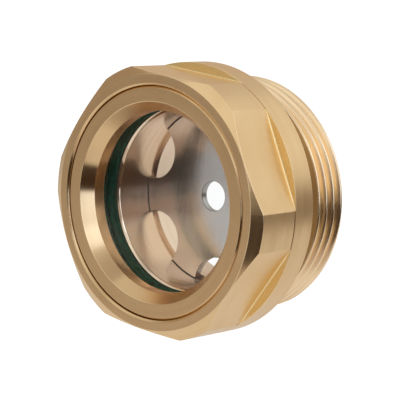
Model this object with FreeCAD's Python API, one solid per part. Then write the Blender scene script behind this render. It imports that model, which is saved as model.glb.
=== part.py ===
import FreeCAD, Part
import math
import os

# Oil level sight glass, screwed into a tank wall. Millimetres, degrees.
# The axis is Y: the window looks towards -Y and the thread points towards +Y.
# The origin is the centre of the seating face, the rear face of the round collar.

# Thread, a right-handed parallel pipe thread of 1 1/2 inch. A share of the sharp V is cut off
# at its crests and at its roots. One crest passes the +Z side at the place of the first crest.
thread_major = 47.8
thread_pitch = 2.309
thread_angle = 55.0
thread_truncation = 1 / 6
thread_first_crest = 5.52
thread_length = 14.0
thread_chamfer = 0.8
relief_width = 4.5
relief_undercut = 0.22

# Head, turned from round bar and milled to six flats in front of the collar
seat_width = 3.1
collar_length = 5.5
collar_chamfer = 0.3
hex_length = 10.8
land_height = 2.0
witness_groove_width = 0.3
witness_groove_depth = 0.12
front_chamfer_inset = 0.15
front_chamfer_angle = 30.0
flat_count = 6

# Retaining ring, let into the front face
rim_wall = 2.2
ring_clearance = 0.05
ring_recess = 0.25
ring_length = 5.05
ring_edge_chamfer = 0.45
ring_bore_edge_chamfer = 0.35
ring_clamp_gap = 0.2
bevel_width = 1.85
bevel_depth = 2.4

# Glass disc and its seal
ring_shoulder_width = 2.6
glass_clearance = 0.2
glass_thickness = 6.0
glass_chamfer = 0.25
seal_clearance = 0.1
seal_inset = 0.7
seal_thickness = 1.0

# Window bore, reflector seat and oil bore
seat_ledge = 2.4
seat_edge_chamfer = 0.45
chamber_depth = 8.7
reflector_ledge = 0.75
oil_bore_chamfer = 1.2

# Reflector, a flat stamped sheet
reflector_clearance = 0.1
reflector_thickness = 1.5
reflector_hole = 6.0
notch_count = 6
notch_radius = 5.7
notch_outset = 0.4
notch_clock = 11.3

# Thread form
flank_slope = math.tan(math.radians(thread_angle / 2))
sharp_depth = thread_pitch / 2 / flank_slope
thread_depth = sharp_depth * (1 - 2 * thread_truncation)
half_flat = thread_pitch / 2 * thread_truncation

# Radii, worked inwards from the thread
thread_radius = thread_major / 2
root_radius = thread_radius - thread_depth
relief_radius = root_radius - relief_undercut
collar_radius = thread_radius + seat_width
flat_distance = collar_radius - land_height
ring_bore_radius = flat_distance - rim_wall
glass_bore_radius = ring_bore_radius - ring_shoulder_width
glass_radius = glass_bore_radius - glass_clearance
window_radius = glass_bore_radius - seat_ledge
oil_bore_radius = window_radius - reflector_ledge
front_face_radius = flat_distance - front_chamfer_inset
front_chamfer_depth = (collar_radius - front_face_radius) * math.tan(math.radians(front_chamfer_angle))

# Places along the axis, worked backwards from the front face
front_face = -(collar_length + hex_length)
ring_front = front_face + ring_recess
ring_rear = ring_front + ring_length
ring_shoulder = ring_rear + ring_clamp_gap
glass_rear = ring_rear + glass_thickness
seal_seat = glass_rear + seal_thickness
reflector_front = seal_seat + chamber_depth
reflector_seat = reflector_front + reflector_thickness

AXIS_POINT = FreeCAD.Vector(0, 0, 0)
AXIS = FreeCAD.Vector(0, 1, 0)

# Angles from +Z towards +X: where a new helix starts, and where the groove starts, away from the turned seam
HELIX_START_ANGLE = 90
GROOVE_START_ANGLE = 120


def turned(profile):
    """A solid turned about the axis from (radius, place along the axis) points."""
    points = [FreeCAD.Vector(radius, along, 0) for radius, along in profile]
    wire = Part.makePolygon(points + [points[0]])
    return Part.Face(wire).revolve(AXIS_POINT, AXIS, 360)


def disc(radius, start, end, z=0.0):
    """A plain cylinder along the axis direction from start to end."""
    return Part.makeCylinder(radius, end - start, FreeCAD.Vector(0, start, z), AXIS)


def around(shape, angle):
    """A copy of the shape turned about the axis."""
    copy = shape.copy()
    copy.rotate(AXIS_POINT, AXIS, angle)
    return copy


def body_blank():
    """The turned outside: front cone, lands, collar, relief ending at the slope of a flank, and crests."""
    groove_radius = collar_radius - witness_groove_depth
    collar_front = -collar_length
    thread_end = thread_length
    return turned([
        (0, front_face),
        (front_face_radius, front_face),
        (collar_radius, front_face + front_chamfer_depth),
        (collar_radius, collar_front - witness_groove_width),
        (groove_radius, collar_front - witness_groove_width),
        (groove_radius, collar_front),
        (collar_radius, collar_front),
        (collar_radius, -collar_chamfer),
        (collar_radius - collar_chamfer, 0),
        (relief_radius, 0),
        (relief_radius, relief_width),
        (thread_radius, relief_width + (thread_radius - relief_radius) * flank_slope),
        (thread_radius, thread_end - thread_chamfer),
        (thread_radius - thread_chamfer, thread_end),
        (0, thread_end),
    ])


def body_bore():
    """The stepped bore: ring seat, glass bore, seal seat, reflector ledge and oil bore."""
    return turned([
        (0, front_face),
        (ring_bore_radius + ring_bore_edge_chamfer, front_face),
        (ring_bore_radius, front_face + ring_bore_edge_chamfer),
        (ring_bore_radius, ring_shoulder),
        (glass_bore_radius, ring_shoulder),
        (glass_bore_radius, seal_seat),
        (window_radius + seat_edge_chamfer, seal_seat),
        (window_radius, seal_seat + seat_edge_chamfer),
        (window_radius, reflector_seat),
        (oil_bore_radius, reflector_seat),
        (oil_bore_radius, thread_length - oil_bore_chamfer),
        (oil_bore_radius + oil_bore_chamfer, thread_length),
        (0, thread_length),
    ])


def flat_cutter():
    """The metal above the top flat, from the front face to the collar."""
    width = 2 * collar_radius
    corner = FreeCAD.Vector(-collar_radius, front_face, flat_distance)
    return Part.makeBox(width, hex_length, collar_radius, corner)


def helix(radius, start, turns):
    """The turns of a right-handed helix about the axis, one edge each, from the groove's start angle."""
    edges = []
    for number in range(turns):
        edge = Part.makeHelix(thread_pitch, thread_pitch, radius).Edges[0]
        edge.rotate(AXIS_POINT, FreeCAD.Vector(1, 0, 0), -90)
        edge.rotate(AXIS_POINT, AXIS, GROOVE_START_ANGLE - HELIX_START_ANGLE)
        edge.translate(FreeCAD.Vector(0, start + number * thread_pitch, 0))
        edges.append(edge)
    return edges


def thread_groove():
    """The helical groove between the crests, from the relief to past the thread's end."""
    overcut = sharp_depth * thread_truncation / 2
    half_mouth = thread_pitch / 2 - half_flat + overcut * flank_slope
    lead = thread_first_crest + thread_pitch * (GROOVE_START_ANGLE / 360 - 0.5)
    start = lead - thread_pitch * math.floor((lead - half_mouth) / thread_pitch)
    turns = math.ceil((thread_length + half_mouth - start) / thread_pitch)
    section = [
        (thread_radius + overcut, -half_mouth),
        (root_radius, -half_flat),
        (root_radius, half_flat),
        (thread_radius + overcut, half_mouth),
    ]
    lines = [helix(radius, start + offset, turns) for radius, offset in section]
    faces = []
    for line, following in zip(lines, lines[1:] + lines[:1]):
        faces += [Part.makeRuledSurface(edge, beside) for edge, beside in zip(line, following)]
    for end in (0, -1):
        corners = [line[end].Vertexes[end].Point for line in lines]
        faces.append(Part.Face(Part.makePolygon(corners + corners[:1])))
    return Part.makeSolid(Part.makeShell(faces))


def body():
    """One turned and threaded piece with six milled flats that stop square against the collar."""
    solid = body_blank().cut(body_bore()).cut(thread_groove())
    for number in range(flat_count):
        solid = solid.cut(around(flat_cutter(), number * 360 / flat_count))
    return solid


def retaining_ring():
    """The ring that clamps the glass, with a bevelled window edge."""
    outer = ring_bore_radius - ring_clearance
    return turned([
        (window_radius + bevel_width, ring_front),
        (outer - ring_edge_chamfer, ring_front),
        (outer, ring_front + ring_edge_chamfer),
        (outer, ring_rear),
        (window_radius, ring_rear),
        (window_radius, ring_front + bevel_depth),
    ])


def sight_glass():
    """The clear disc, its edges ground to a small chamfer."""
    inner = glass_radius - glass_chamfer
    return turned([
        (0, ring_rear),
        (inner, ring_rear),
        (glass_radius, ring_rear + glass_chamfer),
        (glass_radius, glass_rear - glass_chamfer),
        (inner, glass_rear),
        (0, glass_rear),
    ])


def glass_seal():
    """The flat ring between the glass and its seat in the body."""
    outer = disc(glass_bore_radius - seal_clearance, glass_rear, seal_seat)
    return outer.cut(disc(window_radius + seal_inset, glass_rear, seal_seat))


def reflector():
    """A flat disc with a middle hole and round notches that let the oil through."""
    radius = window_radius - reflector_clearance
    sheet = disc(radius, reflector_front, reflector_seat)
    sheet = sheet.cut(disc(reflector_hole / 2, reflector_front, reflector_seat))
    notch = disc(notch_radius, reflector_front, reflector_seat, z=radius + notch_outset)
    for number in range(notch_count):
        sheet = sheet.cut(around(notch, -notch_clock - number * 360 / notch_count))
    return sheet


PIECES = {
    "body": body,
    "retaining_ring": retaining_ring,
    "sight_glass": sight_glass,
    "glass_seal": glass_seal,
    "reflector": reflector,
}

os.makedirs("parts", exist_ok=True)
for name, make in PIECES.items():
    shape = make()
    if len(shape.Solids) != 1 or not shape.isValid():
        raise ValueError(name + " is not one valid solid")
    shape.Solids[0].exportStep("parts/" + name + ".step")
    print(name, round(shape.Volume, 1), "mm3")
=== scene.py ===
import logging
import math
from collections.abc import Callable, Iterable
from dataclasses import dataclass
from enum import Enum
from typing import Any, ClassVar

import bmesh
import bpy
from mathutils import Euler, Matrix, Vector


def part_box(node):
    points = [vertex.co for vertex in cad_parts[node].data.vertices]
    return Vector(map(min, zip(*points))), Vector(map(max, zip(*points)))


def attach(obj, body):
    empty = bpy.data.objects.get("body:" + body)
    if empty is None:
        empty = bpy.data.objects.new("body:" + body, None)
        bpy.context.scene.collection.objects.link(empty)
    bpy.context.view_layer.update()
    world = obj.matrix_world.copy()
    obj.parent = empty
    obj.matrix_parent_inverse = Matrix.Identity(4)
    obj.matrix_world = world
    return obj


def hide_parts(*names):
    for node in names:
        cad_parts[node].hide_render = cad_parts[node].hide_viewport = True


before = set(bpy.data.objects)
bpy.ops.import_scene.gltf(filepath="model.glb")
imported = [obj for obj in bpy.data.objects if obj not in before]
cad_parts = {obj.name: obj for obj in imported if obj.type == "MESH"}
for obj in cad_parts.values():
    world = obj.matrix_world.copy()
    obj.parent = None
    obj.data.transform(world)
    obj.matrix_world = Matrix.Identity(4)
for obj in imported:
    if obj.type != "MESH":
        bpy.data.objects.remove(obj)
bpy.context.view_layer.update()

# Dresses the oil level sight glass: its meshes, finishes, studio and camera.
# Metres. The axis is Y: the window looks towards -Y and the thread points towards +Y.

MM = 0.001
WELD = 0.5e-6
TINY = 1e-9
SHARP_ANGLE = math.radians(38)
EDGE_LAYER = "edge"
FULL_TURN = 2 * math.pi

Colour = tuple[float, float, float]
Values = dict[str, Any]
Socket = bpy.types.NodeSocket
Tree = bpy.types.NodeTree
Material = bpy.types.Material
Mesh = bpy.types.Mesh
Piece = bpy.types.Object

log = logging.getLogger("sight_glass")


class Finish(Enum):
    """The surface that each tool leaves on the brass, and brass that carries painted light or shade."""

    FACED = "faced_brass"
    TURNED = "turned_brass"
    MILLED = "milled_brass"
    SHOULDERED = "shouldered_brass"
    CONED = "coned_brass"
    BURNISHED = "burnished_brass"
    REAMED = "reamed_brass"
    BORED = "bored_brass"
    ROUGHED = "roughed_brass"
    LAPPED = "lapped_brass"
    THREADED = "threaded_brass"
    RELIEVED = "relieved_brass"
    TARNISHED = "tarnished_brass"

    @property
    def number(self) -> int:
        """Its place among the finishes, which is its material's place on a brass piece."""
        return list(Finish).index(self)


class Slot(Enum):
    """The record's material slots."""

    BRASS = "brass"
    GLASS = "glass"
    SEAL = "seal"
    REFLECTOR = "reflector"


@dataclass(frozen=True)
class Term:
    """One socket of a graph in a formula. Arithmetic on it adds math nodes."""

    graph: "Graph"
    socket: Socket

    def __add__(self, other: Any) -> "Term":
        """The sum."""
        return self.graph.math("ADD", self, other)

    def __sub__(self, other: Any) -> "Term":
        """The difference."""
        return self.graph.math("SUBTRACT", self, other)

    def __rsub__(self, other: Any) -> "Term":
        """What is left of a plain number."""
        return self.graph.math("SUBTRACT", other, self)

    def __mul__(self, other: Any) -> "Term":
        """The product."""
        return self.graph.math("MULTIPLY", self, other)

    def __truediv__(self, other: Any) -> "Term":
        """The quotient."""
        return self.graph.math("DIVIDE", self, other)

    def __mod__(self, other: Any) -> "Term":
        """The remainder, which is never below zero."""
        return self.graph.math("FLOORED_MODULO", self, other)

    def __pow__(self, other: Any) -> "Term":
        """The power."""
        return self.graph.math("POWER", self, other)


Terms = dict[str, Term]


class Graph:
    """A thin builder round one node tree, which adds a node and wires it in one call."""

    def __init__(self, tree: Tree) -> None:
        """Keeps the tree that the nodes go into."""
        self.tree = tree

    def add(self, kind: str, inputs: dict[int | str, Any] | None = None, **settings: Any) -> bpy.types.Node:
        """Adds a node.

        Args:
            kind: The node's type name.
            inputs: Terms, sockets or plain values by input name or number.
            settings: The node's own properties.

        Returns:
            The new node.
        """
        node = self.tree.nodes.new(kind)
        for name, value in settings.items():
            setattr(node, name, value)
        for key, value in (inputs or {}).items():
            self.feed(node.inputs[key], value)
        return node

    def feed(self, socket: Socket, value: Any) -> None:
        """Fills an input.

        Args:
            socket: The input.
            value: A term or a socket that is linked to it, or its plain value.
        """
        source = value.socket if isinstance(value, Term) else value
        if isinstance(source, Socket):
            self.tree.links.new(source, socket)
        else:
            socket.default_value = source

    def result(self, kind: str, inputs: dict[int | str, Any] | None = None, **settings: Any) -> Term:
        """The first output of a new node."""
        return Term(self, self.add(kind, inputs, **settings).outputs[0])

    def named(self, outputs: bpy.types.NodeOutputs) -> Terms:
        """A node's outputs by name."""
        return {socket.name: Term(self, socket) for socket in outputs if socket.name}

    def math(self, operation: str, *terms: Any) -> Term:
        """The result of one math node."""
        return self.result("ShaderNodeMath", dict(enumerate(terms)), operation=operation)

    def parts(self, vector: Any) -> list[Term]:
        """The x, y and z of a vector."""
        return [Term(self, socket) for socket in self.add("ShaderNodeSeparateXYZ", {0: vector}).outputs]

    def vector(self, x: Any = 0.0, y: Any = 0.0, z: Any = 0.0) -> Term:
        """A vector of three parts."""
        return self.result("ShaderNodeCombineXYZ", {0: x, 1: y, 2: z})

    def noise(self, vector: Any, scale: Any, detail: float, roughness: float = 0.5) -> Term:
        """The value of a noise texture."""
        inputs = {"Vector": vector, "Scale": scale, "Detail": detail, "Roughness": roughness}
        return self.result("ShaderNodeTexNoise", inputs)

    def ramp(self, value: Any, low: float, high: float, to_low: float = 0.0, to_high: float = 1.0) -> Term:
        """A smooth step of the value, from to_low at low to to_high at high."""
        terms = {0: value, 1: low, 2: high, 3: to_low, 4: to_high}
        return self.result("ShaderNodeMapRange", terms, interpolation_type="SMOOTHSTEP")

    def blend(self, share: Any, first: Any, second: Any) -> Term:
        """Mixes two colours.

        Args:
            share: The second colour's share.
            first: The first colour.
            second: The second colour.

        Returns:
            The mixed colour.
        """
        node = self.add("ShaderNodeMix", data_type="RGBA")
        for name, value in (("Factor_Float", share), ("A_Color", first), ("B_Color", second)):
            self.feed(next(s for s in node.inputs if s.identifier == name), opaque(value))
        return Term(self, next(s for s in node.outputs if s.identifier == "Result_Color"))


def opaque(value: Any) -> Any:
    """A colour with full alpha, or the value itself where it isn't a colour."""
    return (*value, 1.0) if isinstance(value, tuple) and len(value) == 3 else value


def new_group(
    name: str, kind: str, inputs: Iterable[tuple[str, str, Any]], outputs: Iterable[tuple[str, str]]
) -> Graph:
    """Makes an empty node group with its sockets.

    Args:
        name: The group's name.
        kind: ShaderNodeTree or GeometryNodeTree.
        inputs: Name, socket type and default value (or None) of each input.
        outputs: Name and socket type of each output.

    Returns:
        The graph of the new group.
    """
    tree = bpy.data.node_groups.new(name, kind)
    for label, socket_type, value in inputs:
        socket = tree.interface.new_socket(label, in_out="INPUT", socket_type="NodeSocket" + socket_type)
        if value is not None:
            socket.default_value = value
    for label, socket_type in outputs:
        tree.interface.new_socket(label, in_out="OUTPUT", socket_type="NodeSocket" + socket_type)
    return Graph(tree)


class SurfaceEffects:
    """The shader groups that the finishes share. Each is built once."""

    def __init__(self) -> None:
        """Builds the groups."""
        self.tool_marks = self._tool_marks()
        self.edge_light = self._edge_light()
        self.mottle = self._mottle()

    @staticmethod
    def _group(name: str, values: dict[str, float], outputs: tuple[str, ...]) -> tuple[Graph, Terms, Any]:
        """Starts a group that reads a place and some values.

        Args:
            name: The group's name.
            values: The default value of each input beside the place.
            outputs: The names of what the group puts out.

        Returns:
            The graph, its inputs as terms, and the sockets of what it puts out.
        """
        inputs = [("Vector", "Vector", None), *((label, "Float", value) for label, value in values.items())]
        graph = new_group(name, "ShaderNodeTree", inputs, [(label, "Float") for label in outputs])
        return graph, graph.named(graph.add("NodeGroupInput").outputs), graph.add("NodeGroupOutput").inputs

    def _tool_marks(self) -> Tree:
        """Fine rings round the axis, as a turning tool leaves them, and the broad bands in which they fade.

        Returns:
            The group.
        """
        rates = {"Marks per Metre": 4000.0, "Bands per Metre": 700.0}
        graph, given, out = self._group("tool_marks", rates, ("Height", "Band"))
        x, y, z = graph.parts(given["Vector"])
        radius = graph.math("SQRT", x**2.0 + z**2.0)
        drift_per_metre = 25.0
        drift = (x + z) * drift_per_metre

        def rings(rate: Term, detail: float) -> Term:
            """Noise that changes across the rings and hardly along them."""
            return graph.noise(graph.vector(radius * rate, y * rate, drift), 1.0, detail)

        graph.feed(out["Height"], rings(given["Marks per Metre"], 2.0))
        graph.feed(out["Band"], graph.ramp(rings(given["Bands per Metre"], 3.0), 0.32, 0.68))
        return graph.tree

    def _edge_light(self) -> Tree:
        """Where a rounded edge gets a painted reflection, in broken patches, and where an inner corner gets
        painted shade.

        Returns:
            The group.
        """
        graph, given, out = self._group("edge_light", {"Edge": 0.0}, ("Rubbed", "Shaded"))
        broken = graph.ramp(graph.noise(given["Vector"], 420.0, 3.0), 0.3, 0.62, 0.45, 1.0)
        graph.feed(out["Rubbed"], graph.ramp(given["Edge"], 0.05, 0.9) * broken)
        graph.feed(out["Shaded"], graph.ramp(given["Edge"] * -1.0, 0.05, 0.9))
        return graph.tree

    def _mottle(self) -> Tree:
        """Slow, cloudy changes of tone, as handling and oxide leave on bare metal, and a fine speck.

        Returns:
            The group.
        """
        graph, given, out = self._group("mottle", {"Patches per Metre": 90.0}, ("Tone", "Speck"))
        cloud = graph.noise(given["Vector"], given["Patches per Metre"], 4.0, 0.6)
        graph.feed(out["Tone"], graph.ramp(cloud, 0.32, 0.7))
        graph.feed(out["Speck"], graph.noise(given["Vector"], 5200.0, 1.0))
        return graph.tree


class Paint:
    """One material in the making: its graph and its object coordinates."""

    def __init__(self, name: str) -> None:
        """Starts a node material.

        Args:
            name: The material's name.
        """
        self.material = bpy.data.materials.new(name)
        self.material.use_nodes = True
        self.material.node_tree.nodes.clear()
        self.graph = Graph(self.material.node_tree)
        self.place = self.graph.add("ShaderNodeTexCoord").outputs["Object"]

    def group(self, tree: Tree, **values: Any) -> Terms:
        """Places a shared effect on the object coordinates.

        Args:
            tree: The shader group.
            values: Its other inputs, named in lower case with underscores for spaces.

        Returns:
            What the placed group puts out, by name.
        """
        node = self.graph.add("ShaderNodeGroup", node_tree=tree)
        named = {socket.name.lower().replace(" ", "_"): socket for socket in node.inputs}
        for name, value in {"vector": self.place, **values}.items():
            self.graph.feed(named[name], value)
        return self.graph.named(node.outputs)

    def edges(self, effects: SurfaceEffects) -> Terms:
        """The shares of painted edge reflection and painted inner-corner shade, read from the mesh's edge
        layer.
        """
        edge = self.graph.add("ShaderNodeAttribute", attribute_name=EDGE_LAYER).outputs["Fac"]
        return self.group(effects.edge_light, edge=edge)

    def bump(self, height: Any, depth: float) -> Term:
        """A normal bent by a height from 0 to 1 that stands for a depth in metres."""
        return self.graph.result("ShaderNodeBump", {"Strength": 1.0, "Distance": depth, "Height": height})

    def principled(self, inputs: Values) -> Material:
        """The finished material, with one Principled shader of those inputs."""
        return self.finish(self.graph.result("ShaderNodeBsdfPrincipled", inputs))

    def finish(self, shader: Term) -> Material:
        """Wires the shader to the output and gives the material."""
        self.graph.feed(self.graph.add("ShaderNodeOutputMaterial").inputs["Surface"], shader)
        return self.material


@dataclass(frozen=True)
class BrassFinish:
    """Bare brass as one tool leaves it.

    Attributes:
        finish: The tool's finish, which names the material.
        colour: The metal's own colour.
        deep: The colour of its darker, redder patches.
        roughness: The roughness between the bands.
        band_roughness: What the duller bands add to it.
        anisotropy: How far the marks spread a reflection across themselves.
        spread_turn: The part of a full turn from along the marks to across them.
        grazing: The tint of what the metal reflects almost edge on.
        marks: Fine marks for each metre.
        depth: The depth of the marks in metres.
        speck_share: The height of the fine speck, as a share of the marks' height.
        bands: Broad bands for each metre.
        band_tone: How far a band darkens.
        patch_tone: How far a cloudy patch darkens.
        rubbed: The painted highlight on a rounded edge.
        rubbed_share: How far such an edge takes that painted highlight.
        rubbed_polish: What such an edge loses in roughness.
        shaded: The colour in an inner corner.
        shaded_share: How far such a corner takes that colour.
    """

    finish: Finish
    colour: Colour = (0.80, 0.57, 0.31)
    deep: Colour = (0.74, 0.50, 0.255)
    roughness: float = 0.26
    band_roughness: float = 0.08
    anisotropy: float = 0.5
    spread_turn: float = 0.25
    grazing: Colour = (1.0, 1.0, 1.0)
    marks: float = 4200.0
    depth: float = 2.0e-6
    speck_share: float = 0.25
    bands: float = 900.0
    band_tone: float = 0.35
    patch_tone: float = 0.6
    rubbed: Colour = (0.90, 0.70, 0.42)
    rubbed_share: float = 0.6
    rubbed_polish: float = 0.06
    shaded: Colour = (0.30, 0.17, 0.07)
    shaded_share: float = 0.45

    def material(self, effects: SurfaceEffects) -> Material:
        """Builds the material.

        Args:
            effects: The shared shader groups.

        Returns:
            The finished material.
        """
        paint = Paint(self.finish.value)
        graph = paint.graph
        marks = paint.group(effects.tool_marks, marks_per_metre=self.marks, bands_per_metre=self.bands)
        light = paint.edges(effects)
        mottle = paint.group(effects.mottle)
        tone = graph.math("MAXIMUM", marks["Band"] * self.band_tone, mottle["Tone"] * self.patch_tone)
        metal = graph.blend(tone, self.colour, self.deep)
        # Painted highlight: rounded edges take a lighter brass, standing in for the light they catch.
        metal = graph.blend(light["Rubbed"] * self.rubbed_share, metal, self.rubbed)
        metal = graph.blend(light["Shaded"] * self.shaded_share, metal, self.shaded)
        dull = marks["Band"] * self.band_roughness + self.roughness
        return paint.principled(
            {
                "Base Color": metal,
                "Metallic": 1.0,
                "Roughness": light["Rubbed"] * -self.rubbed_polish + dull,
                "Specular Tint": opaque(self.grazing),
                "Anisotropic": self.anisotropy,
                "Anisotropic Rotation": self.spread_turn,
                "Tangent": graph.result("ShaderNodeTangent", direction_type="RADIAL", axis="Y"),
                "Normal": paint.bump(mottle["Speck"] * self.speck_share + marks["Height"], self.depth),
            }
        )


BRASS_FINISHES = (
    BrassFinish(
        Finish.FACED, (0.68, 0.45, 0.235), (0.62, 0.39, 0.19), anisotropy=0.7, marks=3300.0, depth=2.6e-6
    ),
    BrassFinish(Finish.TURNED, roughness=0.27, anisotropy=0.65),
    BrassFinish(
        Finish.MILLED,
        (0.83, 0.60, 0.335),
        (0.77, 0.53, 0.275),
        roughness=0.36,
        anisotropy=0.2,
        marks=3000.0,
        depth=1.6e-6,
        bands=420.0,
        band_tone=0.25,
    ),
    # The shoulder faces beside the flats: brass lightened to a brighter gold, a painted glow for the light
    # that the flats throw onto them.
    BrassFinish(Finish.SHOULDERED, (1.0, 0.78, 0.38), (0.97, 0.72, 0.32), anisotropy=0.3, band_tone=0.4),
    BrassFinish(
        Finish.CONED, roughness=0.19, anisotropy=0.75, marks=5200.0, depth=0.8e-6, band_roughness=0.04
    ),
    BrassFinish(Finish.BURNISHED, roughness=0.19, anisotropy=0.85, depth=0.6e-6, band_roughness=0.03),
    BrassFinish(Finish.REAMED, (0.84, 0.565, 0.30), (0.70, 0.45, 0.225), roughness=0.19),
    BrassFinish(
        Finish.BORED,
        (0.77, 0.55, 0.36),
        (0.65, 0.45, 0.29),
        roughness=0.19,
        depth=0.7e-6,
        bands=1100.0,
        band_roughness=0.05,
    ),
    BrassFinish(Finish.ROUGHED, (0.82, 0.64, 0.48), (0.72, 0.55, 0.41), roughness=0.20, depth=0.7e-6),
    BrassFinish(
        Finish.LAPPED,
        (0.98, 0.80, 0.60),
        (0.95, 0.75, 0.55),
        roughness=0.06,
        anisotropy=0.0,
        depth=0.1e-6,
        band_roughness=0.02,
    ),
    BrassFinish(
        Finish.THREADED,
        (0.94, 0.74, 0.48),
        (0.88, 0.65, 0.40),
        grazing=(0.90, 0.72, 0.46),
        roughness=0.20,
        anisotropy=0.6,
        marks=5000.0,
        depth=0.6e-6,
        band_roughness=0.04,
    ),
    # Painted shade: a darker brass for the relief and the thread's first flank, in the recess between collar
    # and thread.
    BrassFinish(Finish.RELIEVED, (0.54, 0.41, 0.24), (0.44, 0.325, 0.18), roughness=0.22, anisotropy=0.6),
    # Painted shade: a dark brown for the walls deep in the joint between the ring and the body.
    BrassFinish(Finish.TARNISHED, (0.20, 0.115, 0.055), (0.12, 0.07, 0.035), roughness=0.4, anisotropy=0.0),
)


@dataclass(frozen=True)
class GlassFinish:
    """Clear polished glass with a faint green tint.

    Attributes:
        colour: The glass's tint.
        smeared: Its tint where it is faintly smeared.
        index: Its index of refraction.
        reflected: The tint of what it reflects.
    """

    colour: Colour = (0.985, 0.995, 0.99)
    smeared: Colour = (0.975, 0.985, 0.98)
    index: float = 1.5
    reflected: Colour = (0.15, 0.15, 0.15)

    def material(self) -> Material:
        """Builds the material.

        Returns:
            The finished material.
        """
        paint = Paint("clear_glass")
        smear = paint.graph.ramp(paint.graph.noise(paint.place, 160.0, 3.0), 0.3, 0.8)
        return paint.principled(
            {
                "Base Color": paint.graph.blend(smear, self.colour, self.smeared),
                "Metallic": 0.0,
                "Roughness": 0.0,
                "IOR": self.index,
                "Specular Tint": opaque(self.reflected),
                "Transmission Weight": 1.0,
            }
        )


@dataclass(frozen=True)
class SealFinish:
    """Dark green elastomer, almost matt, with a fine moulded grain.

    Attributes:
        colour: The elastomer's colour.
        worn: The colour of its paler patches.
        gloss: How strongly its skin reflects, where 0.5 is usual.
        roughness: The roughness that the grain goes a little below and above.
        grain: Grains for each metre.
        depth: The grain's depth in metres.
    """

    colour: Colour = (0.002, 0.050, 0.026)
    worn: Colour = (0.006, 0.085, 0.048)
    gloss: float = 0.2
    roughness: float = 0.55
    grain: float = 3200.0
    depth: float = 6.0e-6

    def material(self, effects: SurfaceEffects) -> Material:
        """Builds the material.

        Args:
            effects: The shared shader groups.

        Returns:
            The finished material.
        """
        paint = Paint("green_elastomer")
        graph = paint.graph
        mottle = paint.group(effects.mottle, patches_per_metre=900.0)
        grain = graph.noise(paint.place, self.grain, 2.0)
        return paint.principled(
            {
                "Base Color": graph.blend(mottle["Tone"], self.colour, self.worn),
                "Metallic": 0.0,
                "Roughness": graph.ramp(grain, 0.2, 0.8, self.roughness - 0.08, self.roughness + 0.12),
                "IOR": 1.5,
                "Specular IOR Level": self.gloss,
                "Normal": paint.bump(grain, self.depth),
            }
        )


@dataclass(frozen=True)
class SheetFinish:
    """Bright sheet metal, brushed in fine upright lines that spread a reflection sideways.

    Attributes:
        name: The material's name.
        colour: The metal's own colour.
        dull: The colour of its duller patches.
        roughness: The roughness that the lines go a little below and above.
        anisotropy: How far the lines spread a reflection.
        lines: Lines for each metre.
        along_share: How fast the lines change along their length, as a share of the rate across.
        depth: The lines' depth in metres.
        edge: The painted reflection of the dark bore on the rounded edges.
        edge_share: How far such an edge takes that colour.
    """

    name: str = "brushed_sheet"
    colour: Colour = (0.80, 0.77, 0.76)
    dull: Colour = (0.74, 0.71, 0.70)
    roughness: float = 0.13
    anisotropy: float = 0.9
    lines: float = 5200.0
    along_share: float = 0.01
    depth: float = 0.2e-6
    edge: Colour = (0.10, 0.09, 0.085)
    edge_share: float = 0.8

    def material(self, effects: SurfaceEffects) -> Material:
        """Builds the material.

        Args:
            effects: The shared shader groups.

        Returns:
            The finished material.
        """
        paint = Paint(self.name)
        graph = paint.graph
        scale = (self.lines, 1.0, self.lines * self.along_share)
        stretched = graph.result("ShaderNodeMapping", {"Vector": paint.place, "Scale": scale})
        lines = graph.noise(stretched, 1.0, 2.0)
        mottle = paint.group(effects.mottle, patches_per_metre=160.0)
        metal = graph.blend(mottle["Tone"], self.colour, self.dull)
        # Painted reflection: the rounded edges take a near-black that stands in for the dark bore they
        # mirror.
        rubbed = paint.edges(effects)["Rubbed"] * self.edge_share
        facing = graph.add("ShaderNodeNewGeometry").outputs["Normal"]
        upright = {0: facing, 1: (0.0, 0.0, 1.0)}
        return paint.principled(
            {
                "Base Color": graph.blend(rubbed, metal, self.edge),
                "Metallic": 1.0,
                "Roughness": graph.ramp(lines, 0.25, 0.75, self.roughness - 0.03, self.roughness + 0.04),
                "Anisotropic": self.anisotropy,
                "Tangent": graph.result("ShaderNodeVectorMath", upright, operation="CROSS_PRODUCT"),
                "Normal": paint.bump(lines, self.depth),
            }
        )


CUT_EDGE = SheetFinish(
    "cut_edge", (0.46, 0.44, 0.43), (0.30, 0.28, 0.27), roughness=0.24, anisotropy=0.0, depth=1.0e-6
)


class Finishes:
    """Every material of the part, built once."""

    def __init__(self) -> None:
        """Builds the materials from the finishes, the brass ones in the order of their numbers."""
        effects = SurfaceEffects()
        brass = {item.finish: item.material(effects) for item in BRASS_FINISHES}
        self.brass = [brass[finish] for finish in Finish]
        self.glass = [GlassFinish().material()]
        self.seal = [SealFinish().material(effects)]
        self.sheet = [finish.material(effects) for finish in (SheetFinish(), CUT_EDGE)]


@dataclass(frozen=True)
class Corner:
    """One corner of a turned outline.

    Attributes:
        radius: Distance from the axis.
        along: Place along the axis.
        ease: How far from the corner its rounding starts.
        finish: Finish of the surface from this corner to the next.
        painted_bright: True where the rounded edge gets a painted highlight, as a proud edge and the inner
            corner at the foot of each flat do, False where an inner corner gets painted shade.
    """

    radius: float
    along: float
    ease: float = 0.06 * MM
    finish: Finish = Finish.TURNED
    painted_bright: bool = True


@dataclass(frozen=True)
class Station:
    """One point of a rounded outline: its place, how far it is an edge, and the finish that follows it."""

    radius: float
    along: float
    edge: float
    finish: Finish


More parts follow.
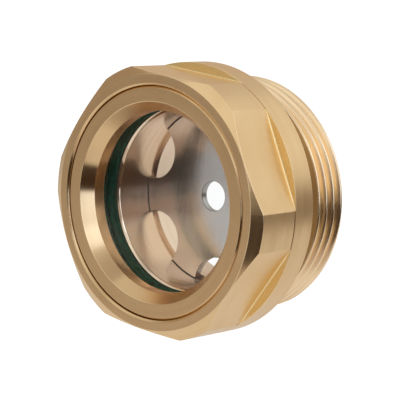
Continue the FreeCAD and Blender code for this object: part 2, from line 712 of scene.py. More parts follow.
def rounded(
    corners: list[Corner], closed: bool, steps: int = 3, side_share: float = 0.45
) -> list[Station]:
    """Rounds the corners of an outline with short curves.

    Args:
        corners: The outline's corners in order.
        closed: True if the last corner joins the first. The ends of an open outline stay sharp.
        steps: Pieces in each rounding.
        side_share: The most of a side that one rounding takes.

    Returns:
        The same number of stations for every outline with as many corners.
    """
    stations = []
    count = len(corners)
    for number, corner in enumerate(corners):
        if not closed and number in (0, count - 1):
            stations.append(Station(corner.radius, corner.along, 0.0, corner.finish))
            continue
        before, after = corners[number - 1], corners[(number + 1) % count]
        here = Vector((corner.radius, corner.along))
        back = Vector((before.radius, before.along)) - here
        ahead = Vector((after.radius, after.along)) - here
        reach = min(corner.ease, side_share * back.length, side_share * ahead.length)
        start, end = here + back.normalized() * reach, here + ahead.normalized() * reach
        for step in range(steps + 1):
            share = step / steps
            point = start * (1 - share) ** 2 + here * 2 * share * (1 - share) + end * share**2
            # The edge layer: plus where the edge gets a painted highlight, minus where an inner corner gets
            # painted shade.
            height = 4 * share * (1 - share) * (1 if corner.painted_bright else -1) if reach > WELD else 0.0
            finish = corner.finish if share > 0.5 else before.finish
            stations.append(Station(point.x, point.y, height, finish))
    return stations


def spot(radius: float, along: float, angle: float) -> Vector:
    """A point of the row frame from its radius, place along the axis and angle from +Z towards +X."""
    return Vector((radius * math.sin(angle), along, radius * math.cos(angle)))


def turned_mesh(
    name: str, angles: list[float], outline_at: Callable[[float], list[Station]], closed: bool
) -> Mesh:
    """Sweeps an outline once round the axis.

    Args:
        name: The mesh's name.
        angles: The angles at which the outline is set.
        outline_at: The stations at an angle, as many at each.
        closed: True if the outline is a loop.

    Returns:
        A mesh with the finishes as material indices and the edges in a point layer.
    """
    shape = bmesh.new()
    layer = shape.verts.layers.float.new(EDGE_LAYER)
    columns = []
    for angle in angles:
        column = []
        for station in outline_at(angle):
            vert = shape.verts.new(spot(station.radius, station.along, angle))
            vert[layer] = station.edge
            column.append((vert, station))
        columns.append(column)
    last = len(columns[0]) if closed else len(columns[0]) - 1
    for left, right in zip(columns, columns[1:] + columns[:1]):
        for row in range(last):
            following = (row + 1) % len(left)
            corners = (left[row][0], right[row][0], right[following][0], left[following][0])
            shape.faces.new(corners).material_index = left[row][1].finish.number
    mesh = bpy.data.meshes.new(name)
    shape.to_mesh(mesh)
    shape.free()
    return mesh


def settle(mesh: Mesh) -> None:
    """Merges doubles, turns the faces outwards, marks the sharp edges and drops what has no area.

    Args:
        mesh: A closed shell, changed in place.
    """
    shape = bmesh.new()
    shape.from_mesh(mesh)
    bmesh.ops.remove_doubles(shape, verts=shape.verts, dist=WELD)
    bmesh.ops.dissolve_degenerate(shape, edges=shape.edges, dist=WELD)
    bmesh.ops.recalc_face_normals(shape, faces=shape.faces)
    open_edges = 0
    for edge in shape.edges:
        if len(edge.link_faces) != 2:
            open_edges += 1
            continue
        edge.smooth = edge.calc_face_angle() < SHARP_ANGLE
    volume = shape.calc_volume(signed=True)
    if volume < 0:
        bmesh.ops.reverse_faces(shape, faces=shape.faces)
    for face in shape.faces:
        face.smooth = True
    size = abs(volume) / MM**3
    log.info("  %s: %d faces, %d open edges, %.1f mm3", mesh.name, len(shape.faces), open_edges, size)
    shape.to_mesh(mesh)
    shape.free()


def evenly_turned(name: str, corners: list[Corner], columns: int, closed: bool) -> Mesh:
    """Turns one outline round the axis in even steps.

    Args:
        name: The mesh's name.
        corners: The outline's corners.
        columns: Steps round the axis.
        closed: True if the outline is a loop.

    Returns:
        The settled mesh.
    """
    stations = rounded(corners, closed)
    angles = [FULL_TURN * number / columns for number in range(columns)]
    mesh = turned_mesh(name, angles, lambda _angle: stations, closed)
    settle(mesh)
    return mesh


def baked(piece: Piece, modifier: bpy.types.Modifier) -> Mesh:
    """The piece's mesh with one modifier applied, which is then removed.

    Args:
        piece: The object that has the modifier.
        modifier: The modifier.

    Returns:
        The evaluated mesh.
    """
    depsgraph = bpy.context.evaluated_depsgraph_get()
    mesh = bpy.data.meshes.new_from_object(piece.evaluated_get(depsgraph), depsgraph=depsgraph)
    piece.modifiers.remove(modifier)
    return mesh


def grown(name: str, source: Mesh, values: Values, wire: Callable[[Graph, Terms], Term]) -> Mesh:
    """Builds a geometry tree and runs it on a mesh.

    Args:
        name: The tree's name.
        source: The mesh that the tree starts from, its input Geometry.
        values: The tree's other inputs by name. A whole number makes an input of whole numbers.
        wire: Adds the tree's own nodes, and gives the geometry that they make from the inputs.

    Returns:
        The mesh that the tree makes.
    """
    kinds = {label: "Int" if isinstance(value, int) else "Float" for label, value in values.items()}
    sockets = [("Geometry", "Geometry", None), *((label, kind, None) for label, kind in kinds.items())]
    graph = new_group(name, "GeometryNodeTree", sockets, [("Geometry", "Geometry")])
    graph.tree.is_modifier = True
    made = wire(graph, graph.named(graph.add("NodeGroupInput").outputs))
    real = graph.result("GeometryNodeRealizeInstances", {"Geometry": made})
    dressed = graph.result("GeometryNodeSetMaterial", {"Geometry": real})
    graph.feed(graph.add("NodeGroupOutput").inputs[0], dressed)
    carrier = bpy.data.objects.new("carrier", source)
    bpy.context.scene.collection.objects.link(carrier)
    modifier = carrier.modifiers.new(name, "NODES")
    modifier.node_group = graph.tree
    for item in graph.tree.interface.items_tree:
        if item.in_out == "INPUT" and item.name in values:
            modifier[item.identifier] = values[item.name]
    mesh = baked(carrier, modifier)
    bpy.data.objects.remove(carrier)
    return mesh


def shade_by_area(piece: Piece) -> None:
    """Lets the large faces keep their own normals, so that only the rounded edges shade.

    Args:
        piece: The piece, whose mesh is replaced.
    """
    modifier = piece.modifiers.new("flat faces", "WEIGHTED_NORMAL")
    modifier.mode = "FACE_AREA"
    modifier.weight = 60
    modifier.keep_sharp = True
    mesh = baked(piece, modifier)
    mesh.name = piece.data.name
    piece.data = mesh


def placed(name: str, mesh: Mesh, materials: list[Material], node: str) -> Piece:
    """Makes a piece that stands for a CAD node.

    Args:
        name: The piece's name.
        mesh: Its mesh, already in place.
        materials: Its materials in the order of the faces' indices. One alone takes every face.
        node: The CAD node that it replaces.

    Returns:
        The piece.
    """
    chosen = [0] * len(mesh.polygons)
    mesh.polygons.foreach_get("material_index", chosen)
    mesh.materials.clear()
    for material in materials:
        mesh.materials.append(material)
    mesh.polygons.foreach_set("material_index", [min(index, len(materials) - 1) for index in chosen])
    piece = bpy.data.objects.new(name, mesh)
    bpy.context.scene.collection.objects.link(piece)
    shade_by_area(piece)
    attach(piece, "root")
    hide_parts(node)
    log.info("%s stands for %s: %d faces", name, node, len(piece.data.polygons))
    return piece


@dataclass
class Thread:
    """The male pipe thread, right-handed, with rounded crests and roots.

    Attributes:
        start: Place along the axis of the relief's rear edge.
        end: Place of the thread's end.
        major_radius: Radius at the crests.
        pitch: Distance from crest to crest.
        tip_radius: Radius of the crests' and roots' rounding.
        flank_angle: Half of the angle between two flanks.
        end_chamfer: Size of the chamfer at the thread's end.
        first_crest: Place along the axis of a crest on the +Z side.
        rows: Rows of faces in each turn.
        crowding: How far the rows gather at the crests and roots, from 0 to 1.
    """

    start: float
    end: float
    major_radius: float = 23.9 * MM
    pitch: float = 2.309 * MM
    tip_radius: float = 0.317 * MM
    flank_angle: float = math.radians(27.5)
    end_chamfer: float = 0.8 * MM
    first_crest: float = 5.52 * MM
    rows: int = 22
    crowding: float = 0.5

    def band(self, rim: list[Vector], bore_radius: float) -> Mesh:
        """The skin of the thread, from the relief's rim to the edge of the bore at the end.

        Args:
            rim: The points of the relief's edge, in order, that the band grows from.
            bore_radius: Radius at which the end face stops.

        Returns:
            The open band, with its first column welded to its last.
        """
        source = bpy.data.meshes.new("relief_rim")
        source.from_pydata(rim, [], [])
        values = {
            "Start": self.start,
            "End": self.end,
            "Crest Radius": self.major_radius,
            "Bore Radius": bore_radius,
            "Pitch": self.pitch,
            "Tip Radius": self.tip_radius,
            "Flank Angle": self.flank_angle,
            "End Chamfer": self.end_chamfer,
            "First Crest": self.first_crest,
            "Crowding": self.crowding,
            "Rows per Turn": self.rows,
        }
        return grown("thread_turns", source, values, self.wind)

    def first_tip(self, place: Vector, after: float) -> float:
        """The first crest on the side where a point lies.

        Args:
            place: The point.
            after: Place along the axis that the crest must be past.

        Returns:
            The crest's place along the axis.
        """
        turn = math.atan2(place.x, place.z) % FULL_TURN / FULL_TURN
        tip = self.first_crest + self.pitch * turn
        return tip - self.pitch * math.floor((tip - after) / self.pitch)

    @staticmethod
    def wind(graph: Graph, given: Terms) -> Term:
        """Winds the thread form round the rim: a grid with a column for each point and rows along the axis.

        Args:
            graph: The geometry tree.
            given: Its inputs.

        Returns:
            The geometry of the band.
        """
        calc = graph.math
        pitch, start, end, rim = given["Pitch"], given["Start"], given["End"], given["Geometry"]
        rim_size = graph.add("GeometryNodeAttributeDomainSize", {0: rim}, component="MESH").outputs
        columns = graph.named(rim_size)["Point Count"]

        # The rows start two turns before the first crest. One row closes the last step, and each end has
        # a row of its own
        early = 2.0
        turns = (end - start) / pitch + early
        height = calc("CEIL", turns * given["Rows per Turn"]) + 3.0
        grid = graph.result("GeometryNodeMeshGrid", {"Vertices X": columns + 1.0, "Vertices Y": height})
        index = graph.result("GeometryNodeInputIndex")
        column = calc("FLOOR", (index + 0.5) / height)
        row = index - column * height

        # Each column's angle, and how far the thread has risen there
        place = graph.result("GeometryNodeInputPosition")
        sample = {"Geometry": rim, "Value": place, "Index": column % columns}
        rim_point = graph.result("GeometryNodeSampleIndex", sample, data_type="FLOAT_VECTOR", domain="POINT")
        x, z = graph.parts(rim_point)[::2]
        rim_radius = calc("SQRT", x**2.0 + z**2.0)
        nudge = 0.001
        angle = (calc("ARCTAN2", x, z) + nudge) % FULL_TURN
        whole = calc("FLOOR", (column + 0.5) / columns) * FULL_TURN
        rise = pitch * ((angle - nudge + whole) / FULL_TURN)

        # Each row's place along the axis, crowded twice in a pitch, at the crest and at the root
        share = (row - 1.0) / given["Rows per Turn"]
        swing = calc("SINE", share * (2 * FULL_TURN)) * given["Crowding"]
        lead = given["First Crest"] + rise
        along = lead + pitch * (share - swing / (2 * FULL_TURN) - early)
        along = calc("MINIMUM", calc("MAXIMUM", along, start), end)

        # The drop from the crest: the crest's arc, the straight flank and the root's arc
        half = pitch * 0.5
        offset = calc("ABSOLUTE", calc("WRAP", along - lead, half, half * -1.0))
        tip, slant = given["Tip Radius"], calc("TANGENT", given["Flank Angle"])
        touch = tip * calc("COSINE", given["Flank Angle"])

        def sag(distance: Term) -> Term:
            """The fall of the tip's arc at a distance from its middle."""
            return tip - calc("SQRT", calc("MAXIMUM", tip**2.0 - distance**2.0, 0.0))

        crest = sag(calc("MINIMUM", offset, touch))
        flank = calc("MINIMUM", calc("MAXIMUM", offset - touch, 0.0), half - touch * 2.0)
        root = sag(touch) - sag(calc("MINIMUM", half - offset, touch))
        drop = crest + flank / slant + root

        # The radius, cut by the slope at the start and the chamfer at the end, then the two end rows
        lead_in = rim_radius + (along - start) / slant
        lead_out = given["Crest Radius"] - given["End Chamfer"] + (end - along)
        radius = calc("MINIMUM", given["Crest Radius"] - drop, calc("MINIMUM", lead_in, lead_out))
        first = calc("COMPARE", row, 0.0, 0.5)
        final = calc("COMPARE", row, height - 1.0, 0.5)
        radius = radius * (1.0 - (first + final)) + rim_radius * first + given["Bore Radius"] * final

        stretch = radius / rim_radius
        target = graph.vector(x * stretch, along, z * stretch)
        moved = graph.result("GeometryNodeSetPosition", {"Geometry": grid, "Position": target})
        return graph.result("GeometryNodeMergeByDistance", {"Geometry": moved, "Distance": WELD})


@dataclass
class Body:
    """The brass body: hexagon, collar, thread relief, thread and stepped bore, all one piece.

    Attributes:
        bar_radius: Radius of the collar and of the hexagon's rounded corners.
        front: Place of the front face.
        end: Place of the thread's end.
        cutter_round: Radius that the cutter leaves where a flat meets the collar.
        cone_slope: Rise along the axis of the front cone for each step outwards.
        unshaded_depth: How deep the joint round the ring keeps the bare brass. Below that it carries painted
            shade.
        flat_steps: Steps across a flat.
        land_steps: Steps across the rounded corner between two flats.
        edge_step: Angle of the narrow step on each side of the edge between a flat and a land.
    """

    bar_radius: float
    front: float
    end: float
    flat_distance: float = 25.0 * MM
    collar_length: float = 5.5 * MM
    collar_chamfer: float = 0.3 * MM
    groove_width: float = 0.3 * MM
    groove_depth: float = 0.12 * MM
    cutter_round: float = 0.3 * MM
    front_radius: float = 24.85 * MM
    cone_slope: float = math.tan(math.radians(30))
    relief_radius: float = 22.201 * MM
    relief_width: float = 4.5 * MM
    ring_bore: float = 22.8 * MM
    ring_bore_chamfer: float = 0.35 * MM
    unshaded_depth: float = 0.55 * MM
    ring_shoulder: float = -10.8 * MM
    glass_bore: float = 20.2 * MM
    seal_seat: float = -4.0 * MM
    seat_chamfer: float = 0.45 * MM
    window_bore: float = 17.8 * MM
    reflector_seat: float = 6.2 * MM
    oil_bore: float = 17.05 * MM
    oil_chamfer: float = 1.2 * MM
    flats: int = 6
    flat_steps: int = 32
    land_steps: int = 10
    edge_step: float = math.radians(0.3)
    node: ClassVar[str] = "body"

    def angles(self) -> list[float]:
        """The angles of the mesh's columns, gathered where a flat meets a land.

        Returns:
            The angles of one turn, which starts at the left edge of the top flat.
        """
        sector = FULL_TURN / self.flats
        half = math.acos(self.flat_distance / self.bar_radius)
        inner = half - self.edge_step
        flat = [-inner + 2 * inner * n / self.flat_steps for n in range(self.flat_steps + 1)]
        low, high = half + self.edge_step, sector - half - self.edge_step
        land = [low + (high - low) * n / self.land_steps for n in range(self.land_steps + 1)]
        columns = [-half, *flat, half, *land]
        return [number * sector + angle for number in range(self.flats) for angle in columns]

    def head_radius(self, angle: float) -> float:
        """Radius of the hexagon and its rounded corners.

        Args:
            angle: From +Z towards +X.

        Returns:
            The radius at that angle.
        """
        sector = FULL_TURN / self.flats
        local = (angle + sector / 2) % sector - sector / 2
        return min(self.bar_radius, self.flat_distance / math.cos(local))

    def outline(self, angle: float) -> list[Station]:
        """The open outline at an angle, from the relief round the front to the bore's edge at the rear.

        Args:
            angle: From +Z towards +X.

        Returns:
            The stations of the rounded outline.
        """
        head = self.head_radius(angle)
        flat = head < self.bar_radius - TINY
        side, step = (Finish.MILLED, Finish.MILLED) if flat else (Finish.TURNED, Finish.BURNISHED)
        groove = min(head, self.bar_radius - self.groove_depth)
        shoulder = -self.collar_length
        groove_front = shoulder - (self.cutter_round * 3 if flat else self.groove_width)
        fine, edge = 0.04 * MM, 0.11 * MM
        cone_end = self.front + (head - self.front_radius) * self.cone_slope
        corners = [
            # The relief carries painted shade.
            Corner(self.relief_radius, self.relief_width, finish=Finish.RELIEVED),
            Corner(self.relief_radius, 0.0, 0.2 * MM, Finish.TURNED, painted_bright=False),
            Corner(self.bar_radius - self.collar_chamfer, 0.0, fine, Finish.BURNISHED),
            Corner(self.bar_radius, -self.collar_chamfer, fine, Finish.TURNED),
            # Beside a flat the shoulder face carries the painted glow.
            Corner(self.bar_radius, shoulder, edge, Finish.SHOULDERED if flat else Finish.BURNISHED),
            # At a flat this inner corner gets a painted highlight; at the collar's groove it gets painted
            # shade.
            Corner(groove, shoulder, self.cutter_round if flat else fine, step, painted_bright=flat),
            Corner(groove, groove_front, fine, side, painted_bright=False),
            Corner(head, groove_front, fine, side),
            Corner(head, cone_end, edge, Finish.CONED),
            Corner(self.front_radius, self.front, edge, Finish.FACED),
            Corner(self.ring_bore + self.ring_bore_chamfer, self.front, fine, Finish.BURNISHED),
            Corner(self.ring_bore, self.front + self.ring_bore_chamfer, fine, Finish.FACED),
            # Deeper in the joint round the ring the wall carries painted shade.
            Corner(self.ring_bore, self.front + self.unshaded_depth, fine, Finish.TARNISHED),
            Corner(self.ring_bore, self.ring_shoulder, edge, Finish.BORED, painted_bright=False),
            Corner(self.glass_bore, self.ring_shoulder, edge, Finish.BORED),
            Corner(self.glass_bore, self.seal_seat, edge, Finish.BORED, painted_bright=False),
            Corner(self.window_bore + self.seat_chamfer, self.seal_seat, fine, Finish.LAPPED),
            Corner(self.window_bore, self.seal_seat + self.seat_chamfer, edge, Finish.BORED),
            Corner(self.window_bore, self.reflector_seat, fine, Finish.ROUGHED, painted_bright=False),
            Corner(self.oil_bore, self.reflector_seat, fine, Finish.ROUGHED),
            Corner(self.oil_bore, self.end - self.oil_chamfer, fine, Finish.BURNISHED),
            Corner(self.oil_bore + self.oil_chamfer, self.end),
        ]
        return rounded(corners, closed=False)

    def finish_at(self, place: Vector, thread: Thread) -> Finish:
        """The finish of the thread's skin: the relief's painted shade, up to where the first crest rounds
        off.

        Args:
            place: A point of the skin.
            thread: The thread.

        Returns:
            The finish there.
        """
        slope_end = thread.start + (thread.major_radius - self.relief_radius) * math.tan(thread.flank_angle)
        flank_end = thread.first_tip(place, slope_end) - thread.tip_radius
        return Finish.RELIEVED if place.y < flank_end else Finish.THREADED

    def mesh(self, thread: Thread) -> Mesh:
        """The whole body, with the thread grown on the relief's rim and welded in.

        Args:
            thread: The thread.

        Returns:
            One closed mesh.
        """
        angles = self.angles()
        mesh = turned_mesh("body", angles, self.outline, closed=False)
        from_top = sorted(angles, key=lambda angle: angle < 0)
        rim = [spot(self.relief_radius, self.relief_width, angle) for angle in from_top]
        band = thread.band(rim, self.oil_bore + self.oil_chamfer)
        log.info("  thread band: %d faces", len(band.polygons))
        shape = bmesh.new()
        shape.from_mesh(mesh)
        own = len(shape.faces)
        shape.from_mesh(band)
        shape.faces.ensure_lookup_table()
        for face in shape.faces[own:]:
            face.material_index = self.finish_at(face.calc_center_median(), thread).number
        shape.to_mesh(mesh)
        shape.free()
        settle(mesh)
        return mesh

    def build(self, thread: Thread, finishes: Finishes) -> Piece:
        """Builds the body and dresses it."""
        return placed("brass_body", self.mesh(thread), finishes.brass, self.node)


@dataclass
class RetainingRing:
    """The bevelled brass ring that clamps the glass."""

    radius: float
    front: float
    rear: float
    inner_radius: float = 17.8 * MM
    bevel_width: float = 1.85 * MM
    bevel_depth: float = 2.4 * MM
    edge_chamfer: float = 0.45 * MM
    columns: int = 256
    node: ClassVar[str] = "retaining_ring"

    def corners(self) -> list[Corner]:
        """The closed outline.

        Returns:
            Its corners, from the bevel's outer edge outwards.
        """
        fine, edge = 0.04 * MM, 0.1 * MM
        return [
            Corner(self.inner_radius + self.bevel_width, self.front, edge, Finish.FACED),
            Corner(self.radius - self.edge_chamfer, self.front, fine, Finish.BURNISHED),
            # The ring's outer wall, deep in the joint, carries painted shade.
            Corner(self.radius, self.front + self.edge_chamfer, fine, Finish.TARNISHED),
            Corner(self.radius, self.rear, edge, Finish.LAPPED),
            Corner(self.inner_radius, self.rear, edge, Finish.REAMED),
            Corner(self.inner_radius, self.front + self.bevel_depth, fine, Finish.BURNISHED),
        ]

    def build(self, finishes: Finishes) -> Piece:
        """Builds the ring and dresses it."""
        mesh = evenly_turned("retaining_ring_shape", self.corners(), self.columns, closed=True)
        return placed("bevelled_ring", mesh, finishes.brass, self.node)


@dataclass
class SightGlass:
    """The clear disc with its ground edges. A film of air parts it from the ring and the seal."""

    radius: float
    front: float
    rear: float
    ground_edge: float = 0.25 * MM
    air_film: float = 0.03 * MM
    columns: int = 192
    node: ClassVar[str] = "sight_glass"

    def corners(self) -> list[Corner]:
        """The open outline.

        Returns:
            Its corners, from the middle of the front to the middle of the rear.
        """
        inner = self.radius - self.ground_edge
        front, rear = self.front + self.air_film, self.rear - self.air_film
        fine = 0.03 * MM
        return [
            Corner(0.0, front),
            Corner(inner, front, fine),
            Corner(self.radius, front + self.ground_edge, fine),
            Corner(self.radius, rear - self.ground_edge, fine),
            Corner(inner, rear, fine),
            Corner(0.0, rear),
        ]

    def build(self, finishes: Finishes) -> Piece:
        """Builds the disc and dresses it."""
        mesh = evenly_turned("glass_shape", self.corners(), self.columns, closed=False)
        return placed("clear_disc", mesh, finishes.glass, self.node)


@dataclass
class GlassSeal:
    """The green ring between the glass and its seat, slightly bulged inwards where it is squeezed."""

    radius: float
    front: float
    rear: float
    inner_radius: float = 18.5 * MM
    bulge: float = 0.12 * MM
    columns: int = 192
    node: ClassVar[str] = "glass_seal"

    def corners(self) -> list[Corner]:
        """The closed outline.

        Returns:
            Its corners, from the inner edge of the front outwards.
        """
        middle = (self.front + self.rear) / 2
        edge = 0.12 * MM
        return [
            Corner(self.inner_radius, self.front, edge),
            Corner(self.radius, self.front, edge),
            Corner(self.radius, self.rear, edge),
            Corner(self.inner_radius, self.rear, edge),
            Corner(self.inner_radius - self.bulge, middle, 0.4 * MM),
        ]

    def build(self, finishes: Finishes) -> Piece:
        """Builds the seal and dresses it."""
        mesh = evenly_turned("seal_shape", self.corners(), self.columns, closed=True)
        return placed("green_seal", mesh, finishes.seal, self.node)


@dataclass
class Reflector:
    """The bright stamped disc with its middle hole and its round notches.

    Attributes:
        radius: Radius of the disc.
        front: Place of its front face.
        rear: Place of its rear face.
        notch_outset: How far the notches' centres lie outside the rim.
        notch_clock: Angle of one notch, from +X towards +Z.
        columns: Steps round the rim.
        punch_share: Steps round a notch or the hole, as a share of those round the rim.
        rim_angle: Two faces that meet at more than this angle have a rounded edge between them.
        flatness: A face is flat sheet where its normal's part along the axis is more than this.
    """

    radius: float
    front: float
    rear: float
    hole_radius: float = 3.0 * MM
    notch_radius: float = 5.7 * MM
    notch_outset: float = 0.4 * MM
    notch_clock: float = math.radians(90 + 11.3)
    notches: int = 6
    columns: int = 240
    punch_share: float = 0.4
    edge_round: float = 0.1 * MM
    rim_angle: float = math.radians(60)
    flatness: float = 0.98
    node: ClassVar[str] = "reflector"

    def mesh(self) -> Mesh:
        """The stamped sheet, with its edges rounded.

        Returns:
            The settled mesh, with the flat faces in the first material and the edges in the second.
        """
        values = {
            "Radius": self.radius,
            "Front": self.front,
            "Rear": self.rear,
            "Hole Radius": self.hole_radius,
            "Notch Radius": self.notch_radius,
            "Notch Circle": self.radius + self.notch_outset,
            "Notch Clock": self.notch_clock,
            "Punch Share": self.punch_share,
            "Notches": self.notches,
            "Columns": self.columns,
        }
        sheet = grown("notched_sheet", bpy.data.meshes.new("no_source"), values, self.stamp)
        shape = bmesh.new()
        shape.from_mesh(sheet)
        bmesh.ops.remove_doubles(shape, verts=shape.verts, dist=WELD)
        layer = shape.verts.layers.float.new(EDGE_LAYER)
        rims = [e for e in shape.edges if len(e.link_faces) == 2 and e.calc_face_angle() > self.rim_angle]
        curve = {"offset": self.edge_round, "segments": 3, "profile": 0.5}
        rounding = set(bmesh.ops.bevel(shape, geom=rims, affect="EDGES", **curve)["faces"])
        for vert in {vert for face in rounding for vert in face.verts}:
            vert[layer] = 1.0 if rounding.issuperset(vert.link_faces) else 0.0
        shape.to_mesh(sheet)
        shape.free()
        sheet.name = "reflector_shape"
        settle(sheet)
        for face in sheet.polygons:
            face.material_index = 0 if abs(face.normal.y) > self.flatness else 1
        return sheet

    @staticmethod
    def stamp(graph: Graph, given: Terms) -> Term:
        """Stamps the notches and the hole out of a disc.

        Args:
            graph: The geometry tree.
            given: Its inputs.

        Returns:
            The geometry of the sheet, its edges still sharp.
        """
        thickness = given["Rear"] - given["Front"]
        through = thickness * 3.0
        few = given["Columns"] * given["Punch Share"]

        def disc(radius: Term, depth: Term, columns: Term) -> Term:
            """A disc about Z."""
            sizes = {"Vertices": columns, "Radius": radius, "Depth": depth}
            return graph.result("GeometryNodeMeshCylinder", sizes)

        notches = {"Vertices": given["Notches"], "Radius": given["Notch Circle"]}
        around = graph.result("GeometryNodeMeshCircle", notches)
        punch = disc(given["Notch Radius"], through, few)
        punches = graph.result("GeometryNodeInstanceOnPoints", {"Points": around, "Instance": punch})
        clock = graph.vector(z=given["Notch Clock"])
        clocked = graph.result("GeometryNodeTransform", {"Geometry": punches, "Rotation": clock})
        tools = graph.add("GeometryNodeJoinGeometry")
        graph.feed(tools.inputs[0], graph.result("GeometryNodeRealizeInstances", {0: clocked}))
        graph.feed(tools.inputs[0], disc(given["Hole Radius"], through, few))
        cut = graph.add("GeometryNodeMeshBoolean", operation="DIFFERENCE", solver="EXACT")
        graph.feed(cut.inputs["Mesh 1"], disc(given["Radius"], thickness, given["Columns"]))
        graph.feed(cut.inputs["Mesh 2"], tools.outputs[0])
        middle = graph.vector(y=(given["Front"] + given["Rear"]) * 0.5)
        upright = {"Geometry": cut.outputs[0], "Translation": middle, "Rotation": (math.pi / 2, 0.0, 0.0)}
        return graph.result("GeometryNodeTransform", upright)

    def build(self, finishes: Finishes) -> Piece:
        """Builds the reflector and dresses it."""
        return placed("notched_reflector", self.mesh(), finishes.sheet, self.node)


@dataclass(frozen=True)
class Patch:
    """One part of the studio, as the object sees it.

    Attributes:
        azimuth: Its middle in degrees, from the window's direction (-Y) towards +X.
        half_width: Half of its width in degrees. At 180 it goes all round.
        elevation: Its middle in degrees above the horizon.
        half_height: Half of its height in degrees.
        feather: Width in degrees of its soft edge.
        light: Its colour and strength, where 1 is white.
    """

    azimuth: float
    half_width: float
    elevation: float
    half_height: float
    feather: float
    light: Colour


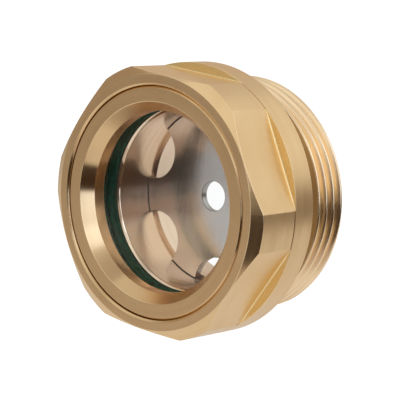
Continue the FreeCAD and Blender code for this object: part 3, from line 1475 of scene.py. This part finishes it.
@dataclass
class Studio:
    """Plain soft studio light, a pale floor and the camera.

    Attributes:
        sweep: What the object sees where there is no patch.
        floor_drop: How far the floor lies under the part.
        floor_size: Side of the floor.
        floor_white: The floor's own tone.
        floor_glow: What lifts the floor to plain white for the camera.
        camera_place: Where the camera stands.
        camera_azimuth: The direction that it looks back along, in degrees, from -Y towards +X.
        camera_elevation: How far that direction rises, in degrees.
        camera_roll: How far the camera leans, in degrees.
        lens: Its focal length in millimetres.
        sensor: The width of its film in millimetres.
        patches: The parts of the studio. A later one lies over the earlier ones.
    """

    sweep: Colour = (0.76, 0.75, 0.74)
    floor_drop: float = 30.0 * MM
    floor_size: float = 6.0
    floor_white: float = 0.9
    floor_glow: float = 0.38
    camera_place: Vector = Vector((220.138, -262.143, 69.956)) * MM
    camera_azimuth: float = 40.225
    camera_elevation: float = 11.674
    camera_roll: float = 6.696
    lens: float = 157.5
    sensor: float = 36.0
    patches: tuple[Patch, ...] = (
        Patch(0.0, 180.0, -60.0, 30.0, 8.0, (0.82, 0.80, 0.80)),
        # A darker patch straight below is painted shade: it stands in for the part's own shadow on the table,
        # as the metal reflects it.
        Patch(0.0, 180.0, -86.0, 12.0, 16.0, (0.52, 0.48, 0.45)),
        Patch(150.0, 40.0, 47.0, 31.0, 20.0, (0.96, 0.97, 0.95)),
        Patch(162.0, 10.0, 2.0, 12.0, 8.0, (0.50, 0.44, 0.37)),
        Patch(104.0, 20.0, 31.0, 22.0, 8.0, (1.14, 1.12, 1.08)),
        Patch(-140.0, 36.0, 14.0, 16.0, 16.0, (0.64, 0.54, 0.43)),
        Patch(15.0, 38.0, 70.0, 14.0, 16.0, (0.50, 0.48, 0.47)),
        Patch(-90.0, 36.0, 12.0, 22.0, 20.0, (0.42, 0.36, 0.31)),
        Patch(-38.0, 24.0, 1.5, 14.0, 8.0, (0.37, 0.35, 0.335)),
        Patch(-8.0, 32.0, 32.0, 13.0, 12.0, (1.0, 1.0, 0.98)),
        Patch(130.0, 20.0, 1.0, 10.0, 10.0, (0.24, 0.20, 0.17)),
        Patch(58.0, 16.0, 24.0, 27.0, 6.0, (1.5, 1.7, 2.15)),
        Patch(96.0, 22.0, -8.0, 11.0, 8.0, (0.030, 0.016, 0.008)),
        Patch(30.0, 22.0, -34.0, 8.0, 6.0, (0.52, 0.44, 0.42)),
        Patch(36.0, 16.0, 15.0, 11.0, 10.0, (0.36, 0.29, 0.26)),
        Patch(35.0, 17.0, 0.0, 8.0, 6.0, (0.075, 0.055, 0.045)),
        Patch(44.0, 36.0, -16.0, 12.5, 3.0, (0.045, 0.028, 0.020)),
    )

    def light(self) -> None:
        """Builds the world: the camera sees plain white, and the metal and glass see the studio's patches."""
        world = bpy.data.worlds.new("studio")
        bpy.context.scene.world = world
        world.use_nodes = True
        world.node_tree.nodes.clear()
        graph = Graph(world.node_tree)
        x, y, z = graph.parts(graph.add("ShaderNodeTexCoord").outputs["Generated"])
        azimuth = graph.math("DEGREES", graph.math("ARCTAN2", x, y * -1.0))
        elevation = graph.math("DEGREES", graph.math("ARCSINE", z))

        def inside(turn: Term, half: float, feather: float) -> Term:
            """A share of 1 inside half a width or height and 0 outside, soft at the edge."""
            distance = graph.math("ABSOLUTE", turn)
            return graph.ramp(distance, half - feather / 2, half + feather / 2, 1.0, 0.0)

        colour: Any = self.sweep
        for patch in self.patches:
            aside = graph.math("WRAP", azimuth - patch.azimuth, 180.0, -180.0)
            across = inside(aside, patch.half_width, patch.feather) if patch.half_width < 180.0 else 1.0
            up = inside(elevation - patch.elevation, patch.half_height, patch.feather)
            colour = graph.blend(up * across, colour, patch.light)
        path = graph.named(graph.add("ShaderNodeLightPath").outputs)
        straight = graph.math("LESS_THAN", path["Glossy Depth"] + path["Diffuse Depth"], 0.5)
        seen = graph.math("MAXIMUM", path["Is Camera Ray"], path["Is Transmission Ray"] * straight)
        shown = graph.blend(seen, colour, (1.0, 1.0, 1.0))
        background = graph.result("ShaderNodeBackground", {"Color": shown, "Strength": 1.0})
        graph.feed(graph.add("ShaderNodeOutputWorld").inputs["Surface"], background)

    def floor(self, lowest: float) -> None:
        """Lays the pale floor under the part. Metal and glass see the studio's own pale table in its place.

        Args:
            lowest: The part's lowest height.
        """
        paint = Paint("pale_floor")
        graph = paint.graph
        plain = graph.result("ShaderNodeBsdfDiffuse", {"Color": opaque((self.floor_white,) * 3)})
        seen = graph.named(graph.add("ShaderNodeLightPath").outputs)["Is Camera Ray"]
        glow = {"Color": (1.0, 1.0, 1.0, 1.0), "Strength": seen * self.floor_glow}
        lift = graph.result("ShaderNodeEmission", glow)
        both = graph.result("ShaderNodeAddShader", {0: plain, 1: lift})
        mesh = bpy.data.meshes.new("floor")
        half, height = self.floor_size / 2, lowest - self.floor_drop
        corners = [(half * x, half * y, height) for x, y in ((-1, -1), (1, -1), (1, 1), (-1, 1))]
        mesh.from_pydata(corners, [], [(0, 1, 2, 3)])
        mesh.materials.append(paint.finish(both))
        floor = bpy.data.objects.new("floor", mesh)
        bpy.context.scene.collection.objects.link(floor)
        floor.visible_glossy = False
        floor.visible_transmission = False

    def camera(self) -> None:
        """Sets the camera where the photograph was taken from."""
        azimuth, elevation = math.radians(self.camera_azimuth), math.radians(self.camera_elevation)
        right = Vector((math.cos(azimuth), math.sin(azimuth), 0.0))
        ahead = Vector((math.sin(azimuth), -math.cos(azimuth), 0.0))
        back = ahead * math.cos(elevation) + Vector((0.0, 0.0, math.sin(elevation)))
        level = Matrix((right, back.cross(right), back)).transposed()
        lens = bpy.data.cameras.new("camera")
        lens.lens, lens.sensor_width = self.lens, self.sensor
        lens.clip_start, lens.clip_end = 0.01, 50.0
        camera = bpy.data.objects.new("camera", lens)
        roll = Euler((0.0, 0.0, math.radians(self.camera_roll))).to_matrix()
        camera.matrix_world = Matrix.Translation(self.camera_place) @ (level @ roll).to_4x4()
        bpy.context.scene.collection.objects.link(camera)
        bpy.context.scene.camera = camera

    def build(self, lowest: float) -> None:
        """Builds the whole studio.

        Args:
            lowest: The part's lowest height.
        """
        self.light()
        self.floor(lowest)
        self.camera()
        scene = bpy.context.scene
        scene.view_settings.view_transform = "Standard"
        scene.cycles.max_bounces = 32
        scene.cycles.glossy_bounces = 24
        scene.cycles.transmission_bounces = 32
        scene.cycles.blur_glossy = 0.1


def main() -> None:
    """Builds each piece from the frame, then the studio."""
    logging.basicConfig(level=logging.INFO, format="%(name)s: %(message)s")
    finishes = Finishes()
    log.info("finishes: %d brass, glass, seal and sheet", len(finishes.brass))
    low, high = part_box("body")
    body = Body(bar_radius=high.x, front=low.y, end=high.y)
    body.build(Thread(start=body.relief_width, end=body.end), finishes)
    for kind in (RetainingRing, SightGlass, GlassSeal, Reflector):
        low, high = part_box(kind.node)
        kind(radius=high.x, front=low.y, rear=high.y).build(finishes)
    Studio().build(lowest=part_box("body")[0].z)


if __name__ == "__main__":
    main()
